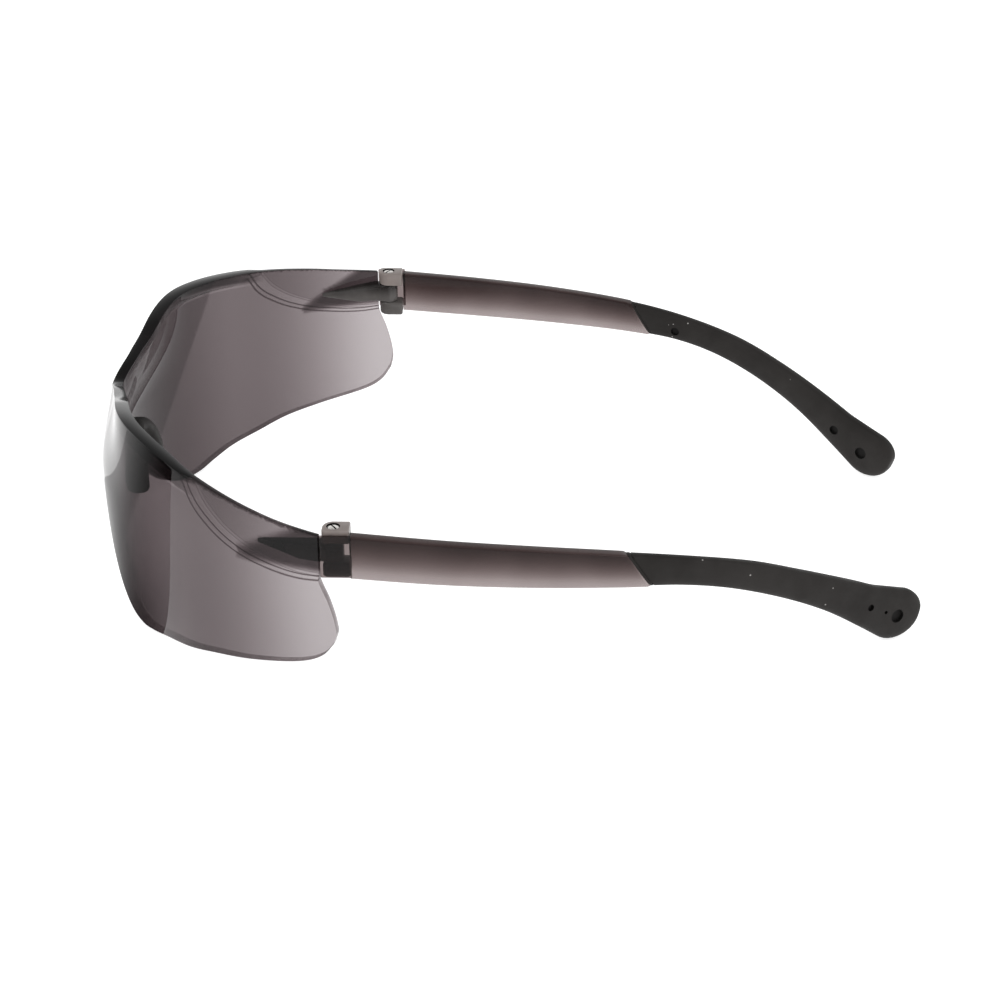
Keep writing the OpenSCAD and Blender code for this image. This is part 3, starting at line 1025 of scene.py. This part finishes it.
bpy.context.scene.view_settings.view_transform = "Standard"

glass = shield()
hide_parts("lens")

nose = nosepiece()
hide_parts("nosepiece")

for side, mirror in (("left", False), ("right", True)):
    for part in lug(side, mirror):
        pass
    for part in hinge_block(side, mirror):
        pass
    blade = temple_arm(side, mirror)
    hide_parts("temple_" + side)
    rubber_sleeve = temple_sleeve(side, mirror)
    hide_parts("temple_sleeve_" + side)
    bolt = screw(side, mirror)
    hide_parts("hinge_screw_" + side)


# ---- studio ----

def stage_floor():
    """A floor that shows as pure white and takes no shadow."""
    bpy.ops.mesh.primitive_plane_add(size=6, location=(0, 0, -0.0002))
    floor = bpy.context.object
    floor.name = "floor"
    mat, tree, out = node_material("pale_floor")
    skin = tree.nodes.new("ShaderNodeBsdfDiffuse")
    colour = two_tones(tree, noise(tree, 3), (0.6, 0.6, 0.6), (0.63, 0.63, 0.63))
    tree.links.new(colour, skin.inputs["Color"])
    glow = tree.nodes.new("ShaderNodeEmission")
    glow.inputs["Strength"].default_value = 0.75
    both = tree.nodes.new("ShaderNodeAddShader")
    tree.links.new(skin.outputs[0], both.inputs[0])
    tree.links.new(glow.outputs[0], both.inputs[1])
    tree.links.new(both.outputs[0], out.inputs["Surface"])
    floor.data.materials.append(mat)


def world_light(level, overhead):
    """A white room, even round the sides and dimmer overhead."""
    world = bpy.data.worlds.new("studio")
    bpy.context.scene.world = world
    world.use_nodes = True
    tree = world.node_tree
    sky = tree.nodes["Background"]
    sky.inputs["Color"].default_value = (1, 1, 1, 1)
    where = tree.nodes.new("ShaderNodeTexCoord")
    split = tree.nodes.new("ShaderNodeSeparateXYZ")
    tree.links.new(where.outputs["Generated"], split.inputs[0])
    tree.links.new(ranged(tree, split.outputs["Z"], 0.1, 0.9, level, overhead), sky.inputs["Strength"])


def soft_lamp(name, place, aim, size, power):
    """A rectangular lamp that faces a point."""
    data = bpy.data.lights.new(name, "AREA")
    data.shape = "RECTANGLE"
    data.size, data.size_y = size
    data.energy = power
    lamp = bpy.data.objects.new(name, data)
    bpy.context.scene.collection.objects.link(lamp)
    lamp.location = place
    lamp.rotation_euler = (Vector(aim) - Vector(place)).to_track_quat("-Z", "Y").to_euler()


CAMERA_AT = (0.55916, 0.02951, 0.29640)
CAMERA_TURN = (93.173, 26.960, -0.870)      # azimuth, elevation and roll in degrees
CAMERA_LENS, CAMERA_SENSOR = 103.45, 36


def photo_camera():
    """The photograph's viewpoint: a fit to the left and right copies of each part, at a chosen elevation."""
    azimuth, elevation, roll = (math.radians(a) for a in CAMERA_TURN)
    back = Vector((math.sin(azimuth) * math.cos(elevation), -math.cos(azimuth) * math.cos(elevation),
                   math.sin(elevation)))
    level = (-back).cross(Vector((0, 0, 1))).normalized()
    upright = back.cross(level)
    right = level * math.cos(roll) + upright * math.sin(roll)
    up = upright * math.cos(roll) - level * math.sin(roll)
    data = bpy.data.cameras.new("camera")
    data.lens = CAMERA_LENS
    data.sensor_width = CAMERA_SENSOR
    data.clip_start = 0.01
    camera = bpy.data.objects.new("camera", data)
    bpy.context.scene.collection.objects.link(camera)
    turn = Matrix((right, up, back)).transposed().to_4x4()
    camera.matrix_world = Matrix.Translation(CAMERA_AT) @ turn
    bpy.context.scene.camera = camera


def front_card(left, right, near, far):
    """A card on the floor ahead of the glasses, which shows only in their gloss: white, then black."""
    lift = 0.0001
    corners = [Vector((x, y, lift)) for x, y in ((left, far), (right, far), (right, near), (left, near))]
    mesh = bpy.data.meshes.new("front_card")
    mesh.from_pydata(corners, [], [(0, 1, 2, 3)])
    mat, tree, out = node_material("front_card")
    skin = tree.nodes.new("ShaderNodeBsdfDiffuse")
    share = ranged(tree, object_axis(tree, "X"), left, right, 0, 1)
    tree.links.new(two_tones(tree, share, (0.9, 0.9, 0.9), (0.02, 0.02, 0.02)), skin.inputs["Color"])
    tree.links.new(skin.outputs[0], out.inputs["Surface"])
    mesh.materials.append(mat)
    card = bpy.data.objects.new("front_card", mesh)
    bpy.context.scene.collection.objects.link(card)
    card.visible_camera = False
    card.visible_diffuse = False
    card.visible_shadow = False
    card.visible_transmission = False


stage_floor()
world_light(1.05, 0.45)
soft_lamp("key", (0.5, -0.9, 1.3), (0, 0, 0), (0.9, 0.9), 7)
soft_lamp("fill", (0.6, 0.9, 0.9), (0, 0, 0), (1.2, 0.8), 5)
front_card(-0.03, 0.043, -0.02, -0.6)
photo_camera()

bpy.context.view_layer.update()
